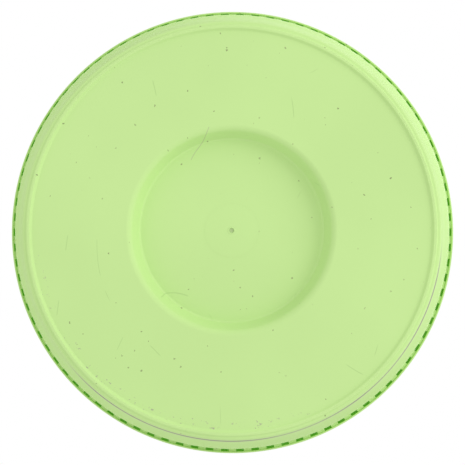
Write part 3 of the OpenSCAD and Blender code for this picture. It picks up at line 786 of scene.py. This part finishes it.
# %% Add the brake cup, the idler bosses and the catches
BRAKE_Y = -92.0
CUP_R = 14.0
CUP_IN_R = 12.2
CUP_FLOOR = 119.8
CUP_TOP = 127.5
GUIDE_TOP = 125.4
STEM_HOLE_R = 3.55
STEM_GUIDE_R = 5.4
IDLERS = on_arm(30.0, (90, 210, 330))
CATCH_Z = 133.0
combine(lid, cylinders("cup_opening", [(0, BRAKE_Y)], 13.1, CUP_FLOOR - 4, 140.0, 72), "DIFFERENCE")
cup = draw_section("cup", [
    (STEM_HOLE_R, CUP_FLOOR), (CUP_R, CUP_FLOOR), (CUP_R, CUP_TOP), (CUP_IN_R, CUP_TOP),
    (CUP_IN_R, CUP_FLOOR + LID_T), (STEM_GUIDE_R, CUP_FLOOR + LID_T), (STEM_GUIDE_R, GUIDE_TOP),
    (STEM_HOLE_R, GUIDE_TOP)], axis=(0, BRAKE_Y), closed=True)
round_corners(cup, [(CUP_R, CUP_TOP, 0.7, 3), (CUP_IN_R, CUP_TOP, 0.5, 3), (CUP_R, CUP_FLOOR, 0.6, 2)],
              axis=(0, BRAKE_Y))
spin(cup, 72, axis=(0, BRAKE_Y))
combine(lid, cup, "UNION")
bosses = cylinders("idler_bosses", IDLERS, 5.2, 118.5, 124.6)
apply(bosses, "BEVEL", "soften", width=0.3 * MM, segments=2)
combine(lid, bosses, "UNION")
combine(lid, cylinders("pin_holes", IDLERS, 2.53, 119.2, 126.0), "DIFFERENCE")
catches = [(6, 30, COLLAR_R - 1, COLLAR_R + 1, 7.4, CATCH_Z - 0.8, CATCH_Z + 0.8)]
combine(lid, blocks("catches", catches), "UNION")
hand_over(lid, "lid_body", ["lid"], leaf_lid)

# %% [markdown]
# ## The ring around the crank wheel
# A darker ring snaps over the collar and keeps the crank wheel down. Six windows take its catches.

# %% Turn the ring
BEZEL_TOP = span("bezel_ring")[1][2]
BEZEL_LIP_Z = BEZEL_TOP - 2.4
BEZEL_FOOT = 127.2
BEZEL_LIP_R = 60.9
BEZEL_IN_R = 68.43
BEZEL_R = 70.43
bezel = draw_section("bezel_band", [
    (BEZEL_LIP_R, BEZEL_LIP_Z), (BEZEL_IN_R, BEZEL_LIP_Z), (BEZEL_IN_R, BEZEL_FOOT),
    (BEZEL_R, BEZEL_FOOT), (BEZEL_R, BEZEL_TOP - 0.8), (BEZEL_R - 0.8, BEZEL_TOP),
    (BEZEL_LIP_R, BEZEL_TOP)], closed=True)
round_corners(bezel, [
    (BEZEL_LIP_R, BEZEL_TOP, 0.8, 3), (BEZEL_LIP_R, BEZEL_LIP_Z, 0.3, 2),
    (BEZEL_R - 0.8, BEZEL_TOP, 0.6, 3), (BEZEL_R, BEZEL_TOP - 0.8, 0.5, 3),
    (BEZEL_R, BEZEL_FOOT, 0.4, 2)])
spin(bezel, 180)
windows = [(6, 30, 67.4, 71.4, 8.0, CATCH_Z - 1, CATCH_Z + 1)]
combine(bezel, blocks("windows", windows), "DIFFERENCE")
hand_over(bezel, "lid_body", ["bezel_ring"], deep_green)

# %% [markdown]
# ## The crank wheel and its knob
# The wheel is a flat dish with a boss for the knob's pin. The knob is waisted, so fingers hold it, and
# a small cap covers the end of its pin.

# %% Turn the crank wheel
CRANK_ARM = 44.0
SCREWS = on_arm(54.6, (45, 135, 225, 315))
WHEEL_R = 60.4
WHEEL_UNDER_R = 58.0
WHEEL_UNDER = 137.8
WHEEL_TOP = 140.2
DISH_R = 55.6
DISH_Z = 139.4
HUB_R = 10.4
FLANGE_R = 65.6
FLANGE_Z = 135.5
FLANGE_TOP = 137.9
wheel = draw_section("crank_dish", [
    (0.0, WHEEL_UNDER), (WHEEL_UNDER_R, WHEEL_UNDER), (WHEEL_UNDER_R, FLANGE_Z),
    (FLANGE_R, FLANGE_Z), (FLANGE_R, FLANGE_TOP), (WHEEL_R, FLANGE_TOP), (WHEEL_R, WHEEL_TOP),
    (DISH_R + 1, WHEEL_TOP), (DISH_R, DISH_Z), (HUB_R + 1.6, DISH_Z), (HUB_R, WHEEL_TOP),
    (0.0, WHEEL_TOP)])
round_corners(wheel, [
    (WHEEL_R, WHEEL_TOP, 0.7, 3), (DISH_R + 1, WHEEL_TOP, 0.5, 3), (DISH_R, DISH_Z, 0.5, 3),
    (HUB_R + 1.6, DISH_Z, 0.6, 3), (HUB_R, WHEEL_TOP, 0.6, 3), (FLANGE_R, FLANGE_TOP, 0.3, 2),
    (FLANGE_R, FLANGE_Z, 0.3, 2)])
spin(wheel, 180)
boss = cylinders("knob_boss", [(CRANK_ARM, 0)], 8.0, DISH_Z - 1, 141.0)
apply(boss, "BEVEL", "soften", width=0.4 * MM, segments=2)
combine(wheel, boss, "UNION")
combine(wheel, cylinders("screw_bosses", SCREWS, 3.2, 133.5, 138.6), "UNION")
combine(wheel, cylinders("screw_holes", SCREWS, 1.53, 133.0, 137.8), "DIFFERENCE")
combine(wheel, cylinders("knob_pin_hole", [(CRANK_ARM, 0)], 3.03, 137.0, 142.0), "DIFFERENCE")
hand_over(wheel, "crank_body", ["crank_wheel"], soft_white)

# %% Turn the knob and its cap
KNOB_R = 12.5
KNOB_Z = 141.2
KNOB_TOP = 165.2
KNOB_BORE_R = 3.05
SEAT_R = 7.5
SEAT_Z = 158.2
waist = [(KNOB_R * (0.88 - 0.12 * math.sin(math.pi * t) + 0.12 * t * t), KNOB_Z + 1 + 19 * t)
         for t in (0.0, 0.125, 0.25, 0.375, 0.5, 0.625, 0.75, 0.875, 1.0)]
knob = draw_section("knob_grip", [(KNOB_BORE_R, KNOB_Z), (KNOB_R * 0.84, KNOB_Z)] + waist + [
    (KNOB_R, KNOB_TOP), (SEAT_R, KNOB_TOP), (SEAT_R, SEAT_Z), (KNOB_BORE_R, SEAT_Z)],
    axis=(CRANK_ARM, 0), closed=True)
round_corners(knob, [(KNOB_R, KNOB_TOP, 3.6, 6), (SEAT_R, KNOB_TOP, 0.3, 2)], axis=(CRANK_ARM, 0))
spin(knob, 96, axis=(CRANK_ARM, 0))
hand_over(knob, "knob_body", ["knob"], deep_green)
CAP_R = SEAT_R - 0.03
CAP_Z = 162.2
cap = draw_section("knob_button", [
    (0.0, CAP_Z), (CAP_R, CAP_Z), (CAP_R, KNOB_TOP), (CAP_R - 0.4, KNOB_TOP + 0.2), (5.3, 165.95),
    (3.5, 166.3), (1.7, 166.5), (0.0, 166.55)], axis=(CRANK_ARM, 0))
spin(cap, 72, axis=(CRANK_ARM, 0))
hand_over(cap, "knob_body", ["knob_cap"], leaf_lid, angle=40)

# %% [markdown]
# ## The brake
# The button slides in its cup and a rubber pad on its stem rubs on the spinning plate. A wire spring
# lifts it again.

# %% Turn the brake button
BUTTON_R = 11.7
BUTTON_IN_R = 9.9
BUTTON_Z = 125.6
BUTTON_TOP = 131.0
STEM_R = 3.5
TIP_R = 2.2
TIP_Z = 117.1
button = draw_section("brake_cap", [
    (0.0, TIP_Z), (TIP_R, TIP_Z), (TIP_R, 119.5), (STEM_R, 119.5), (STEM_R, BUTTON_TOP - 2),
    (BUTTON_IN_R, BUTTON_TOP - 2), (BUTTON_IN_R, BUTTON_Z), (BUTTON_R, BUTTON_Z),
    (BUTTON_R, BUTTON_TOP), (9.0, BUTTON_TOP), (6.0, BUTTON_TOP - 0.5), (0.0, BUTTON_TOP - 0.7)],
    axis=(0, BRAKE_Y))
round_corners(button, [(BUTTON_R, BUTTON_TOP, 1.4, 5), (9.0, BUTTON_TOP, 0.8, 3),
                       (6.0, BUTTON_TOP - 0.5, 1.5, 3), (TIP_R, TIP_Z, 0.4, 2)], axis=(0, BRAKE_Y))
spin(button, 72, axis=(0, BRAKE_Y))
hand_over(button, "brake_body", ["brake_button"], deep_green)

# %% Wind the brake spring
WIRE_R = 0.5
COIL_R = 6.4
COILS = 4.5
COIL_RISE = 5.7
bpy.ops.object.select_all(action="DESELECT")
bpy.ops.mesh.primitive_circle_add(
    vertices=10, radius=WIRE_R * MM, fill_type="NGON",
    location=(COIL_R * MM, 0, (CUP_FLOOR + LID_T + WIRE_R + 0.05) * MM), rotation=(math.pi / 2, 0, 0))
spring = bpy.context.object
spring.name = "brake_coil"
settle()
edit(spring)
bpy.ops.mesh.select_all(action="SELECT")
bpy.ops.mesh.delete(type="ONLY_FACE")
done()
apply(spring, "SCREW", "coils", angle=2 * math.pi * COILS, screw_offset=COIL_RISE * MM,
      steps=108, render_steps=108)
edit(spring)
bpy.ops.mesh.select_all(action="DESELECT")
bpy.ops.mesh.select_mode(type="EDGE")
bpy.ops.mesh.select_non_manifold()
bpy.ops.mesh.edge_face_add()
bpy.ops.mesh.select_all(action="SELECT")
bpy.ops.mesh.normals_make_consistent(inside=False)
done()
take(spring)
bpy.ops.transform.translate(value=(0, BRAKE_Y * MM, 0))
settle()
hand_over(spring, "lid_body", ["brake_spring"], steel, angle=60)
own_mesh(spring)

# %% [markdown]
# ## The basket and the plate that drives it
# The basket is turned from one section and its drain slots are cut through it in staggered rows. Six
# notches in its rim take the driver's lugs. The driver is a slotted plate with a guide ring.

# %% Turn the basket
BASKET_Z = 22.0
RIM_Z = BOWL_H - 8.4
FOOT_Z = BASKET_Z + 5.0
BASKET_FOOT_R = wall_r(FOOT_Z) - WALL - 9.3
BASKET_RIM_R = wall_r(RIM_Z) - WALL - 5.8
BASKET_TOP_R = BASKET_RIM_R - 4.5
GUIDE_R = BASKET_TOP_R - 3.5
SOCKET_TOP = PLATEAU_Z + 12.1
SOCKET_IN_R = 7.27
SOCKET_R = 9.87
SLOT_W = 3.2
basket = draw_section("basket_shell", [
    (0.0, SOCKET_TOP), (SOCKET_IN_R, SOCKET_TOP), (SOCKET_IN_R, PLATEAU_Z + 2),
    (SOCKET_R, PLATEAU_Z + 2), (SOCKET_R, BASKET_Z), (BASKET_FOOT_R, BASKET_Z),
    (BASKET_FOOT_R, FOOT_Z), (BASKET_TOP_R, RIM_Z - 2),
    (BASKET_RIM_R - 1.5, RIM_Z - 2), (BASKET_RIM_R - 1.5, RIM_Z - 5), (BASKET_RIM_R, RIM_Z - 5),
    (BASKET_RIM_R, RIM_Z), (BASKET_TOP_R - 2, RIM_Z), (BASKET_FOOT_R - 2, FOOT_Z),
    (BASKET_FOOT_R - 2, BASKET_Z + 2), (SOCKET_R, BASKET_Z + 2), (SOCKET_R, SOCKET_TOP + 1.6),
    (0.0, SOCKET_TOP + 1.6)])
round_corners(basket, [
    (BASKET_FOOT_R, BASKET_Z, 4.6, 6), (BASKET_FOOT_R - 2, BASKET_Z + 2, 2.8, 5),
    (BASKET_RIM_R, RIM_Z, 1.2, 4), (BASKET_RIM_R, RIM_Z - 5, 0.4, 2),
    (BASKET_TOP_R - 2, RIM_Z, 0.8, 3), (SOCKET_R, SOCKET_TOP + 1.6, 0.8, 3)])
spin(basket, 160)
FIRST_Z = FOOT_Z + 5
PITCH = (RIM_Z - 11 - FIRST_Z) / 4
drains = [(40, 4.5 * (row % 2), BASKET_FOOT_R - 6, BASKET_RIM_R - 1.6, SLOT_W,
           FIRST_Z + PITCH * row, FIRST_Z + PITCH * (row + 1) - 4) for row in range(4)]
drains += [(n, 180 / n, BASKET_FOOT_R * a, BASKET_FOOT_R * b, SLOT_W, BASKET_Z - 1, BASKET_Z + 3)
           for a, b, n in ((0.19, 0.36, 12), (0.41, 0.62, 24), (0.67, 0.88, 36))]
drains += [(6, 0, GUIDE_R, BASKET_TOP_R + 2.2, 9.8, RIM_Z - 3.2, RIM_Z + 4)]
combine(basket, blocks("drains", drains), "DIFFERENCE")
hand_over(basket, "basket_body", ["basket"], soft_white)

# %% Turn the driver plate
PLATE_Z = RIM_Z + 1.0
PLATE_TOP = PLATE_Z + 2.0
PLATE_R = BASKET_TOP_R + 1.0
PLATE_HUB_R = 8.0
GUIDE_Z = PLATE_Z - 6.6
driver = draw_section("driver_plate", [
    (0.0, GUIDE_Z), (PLATE_HUB_R, GUIDE_Z), (PLATE_HUB_R, PLATE_Z), (GUIDE_R - 2, PLATE_Z),
    (GUIDE_R - 2, GUIDE_Z), (GUIDE_R, GUIDE_Z), (GUIDE_R, PLATE_Z), (PLATE_R, PLATE_Z),
    (PLATE_R, PLATE_TOP), (PLATE_HUB_R, PLATE_TOP), (PLATE_HUB_R, PLATE_TOP + 1.7),
    (0.0, PLATE_TOP + 1.7)])
round_corners(driver, [
    (PLATE_HUB_R, GUIDE_Z, 0.5, 2), (GUIDE_R - 2, GUIDE_Z, 0.5, 3), (GUIDE_R, GUIDE_Z, 0.5, 3),
    (PLATE_R, PLATE_TOP, 0.7, 3), (PLATE_R, PLATE_Z, 0.4, 2)])
spin(driver, 160)
lugs = blocks("lugs", [(6, 0, GUIDE_R - 0.5, BASKET_TOP_R + 1.8, 9.0, PLATE_Z - 3.8, PLATE_Z + 1)])
combine(driver, lugs, "UNION")
cuts = [(n, 180 / n, PLATE_R * a, PLATE_R * b, SLOT_W, PLATE_Z - 1, PLATE_TOP + 1)
        for a, b, n in ((0.2, 0.36, 12), (0.42, 0.6, 24), (0.65, 0.76, 36))]
combine(driver, blocks("plate_slots", cuts), "DIFFERENCE")
combine(driver, cylinders("shaft_hole", [(0, 0)], 4.03, PLATE_Z - 4.6, PLATE_TOP + 3), "DIFFERENCE")
combine(driver, cylinders("screw_hole", [(0, 0)], 2.3, PLATE_Z - 8, PLATE_Z), "DIFFERENCE")
hand_over(driver, "driver_body", ["basket_driver"], soft_white)

# %% [markdown]
# ## Materials for the parts inside
# The gears, pins, bushes and screws are right as they are packed, because the motion depends on their
# exact teeth and bores. They only need their finishes.

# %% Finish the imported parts


def finish_node(node, finish):
    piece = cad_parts[node]
    piece.data.materials.clear()
    piece.data.materials.append(finish)


for part in ("drive_gear", "idler_gear_1", "idler_gear_2", "idler_gear_3", "ring_gear"):
    finish_node(part, soft_white)
for part in ("pivot_bush", "shaft_bush"):
    finish_node(part, natural)
for part in ("drive_shaft", "driver_washer", "driver_screw", "gear_clip", "idler_pins", "idler_clips",
             "ring_gear_screws", "knob_pin", "knob_washer"):
    finish_node(part, steel)
finish_node("brake_pad", black_rubber)
print("packed parts finished")

# %% [markdown]
# ## Floor, light and camera
# The spinner is looked at from straight below, as when it is turned over to drain. The floor shows
# only from above: its underside is clear and it throws no shade downwards, so the same scene works
# from any side. The light is a broad even white, with two soft lamps low on one side and one above.

# %% The floor


def floor_paint():
    material = bpy.data.materials.new("pale_floor")
    material.use_nodes = True
    tree = material.node_tree
    shader = tree.nodes["Principled BSDF"]
    shader.inputs["Base Color"].default_value = (0.86, 0.86, 0.85, 1.0)
    shader.inputs["Roughness"].default_value = 0.8
    clear = add(tree, "ShaderNodeBsdfTransparent")
    side = add(tree, "ShaderNodeNewGeometry")
    mix = add(tree, "ShaderNodeMixShader")
    join(tree, side.outputs["Backfacing"], mix.inputs["Fac"])
    join(tree, shader.outputs["BSDF"], mix.inputs[1])
    join(tree, clear.outputs["BSDF"], mix.inputs[2])
    join(tree, mix.outputs["Shader"], tree.nodes["Material Output"].inputs["Surface"])
    return material


bpy.ops.object.select_all(action="DESELECT")
bpy.ops.mesh.primitive_plane_add(size=6.0, location=(0, 0, 0))
floor = bpy.context.object
floor.name = "floor"
floor.data.materials.append(floor_paint())
floor.visible_shadow = False
floor.visible_diffuse = False
floor.visible_glossy = False
print("floor ready")

# %% The light
SKY = 0.885
world = bpy.data.worlds.new("studio")
bpy.context.scene.world = world
world.use_nodes = True
sky = world.node_tree
backdrop = sky.nodes["Background"]
backdrop.inputs["Color"].default_value = (1.0, 1.0, 1.0, 1.0)
backdrop.inputs["Strength"].default_value = SKY
seen = add(sky, "ShaderNodeBackground")
seen.inputs["Color"].default_value = (1.0, 1.0, 1.0, 1.0)
rays = add(sky, "ShaderNodeLightPath")
choose = add(sky, "ShaderNodeMixShader")
join(sky, rays.outputs["Is Camera Ray"], choose.inputs["Fac"])
join(sky, backdrop.outputs["Background"], choose.inputs[1])
join(sky, seen.outputs["Background"], choose.inputs[2])
join(sky, choose.outputs["Shader"], sky.nodes["World Output"].inputs["Surface"])


def soft_lamp(name, place, aim, size, watts):
    """A square soft lamp at a place, turned to face a point, in metres."""
    bpy.ops.object.select_all(action="DESELECT")
    bpy.ops.object.light_add(type="AREA", location=place)
    lamp = bpy.context.object
    lamp.name = name
    lamp.data.shape = "SQUARE"
    lamp.data.size = size
    lamp.data.energy = watts
    way = [a - p for a, p in zip(aim, place)]
    flat = math.hypot(way[0], way[1])
    lamp.rotation_euler = (math.atan2(flat, -way[2]), 0, math.atan2(way[1], way[0]) - math.pi / 2)
    return lamp


# Low on the side that faces right in the view from below, which is -X
soft_lamp("lamp_below", (-1.5, 0.6, -0.9), (0, 0, 0.05), 1.0, 10)
soft_lamp("lamp_side", (-1.7, 0.9, -0.5), (0, 0, 0.06), 1.0, 1.3)
soft_lamp("lamp_above", (-0.5, 0.6, 1.9), (0, 0, 0.08), 1.6, 8)
bpy.context.scene.view_settings.view_transform = "Standard"

# %% The camera
CAMERA_DISTANCE = 1.0
LENS = 152.4
OFF_X = -4.5 * MM
OFF_Y = 10.8 * MM
bpy.ops.object.camera_add(location=(OFF_X, -OFF_Y, -CAMERA_DISTANCE))
camera = bpy.context.object
camera.data.lens = LENS
camera.data.sensor_width = 36.0
camera.data.clip_start = 0.01
target = (0.0, 0.0, BOWL_H * MM)
way = [t - p for t, p in zip(target, camera.location)]
tilt = math.atan2(-way[1], way[2])
lean = math.atan2(way[0], way[2])
camera.rotation_euler = (math.pi - tilt, -lean, math.pi)
bpy.context.scene.camera = camera
print("camera at", [round(c, 3) for c in camera.location])
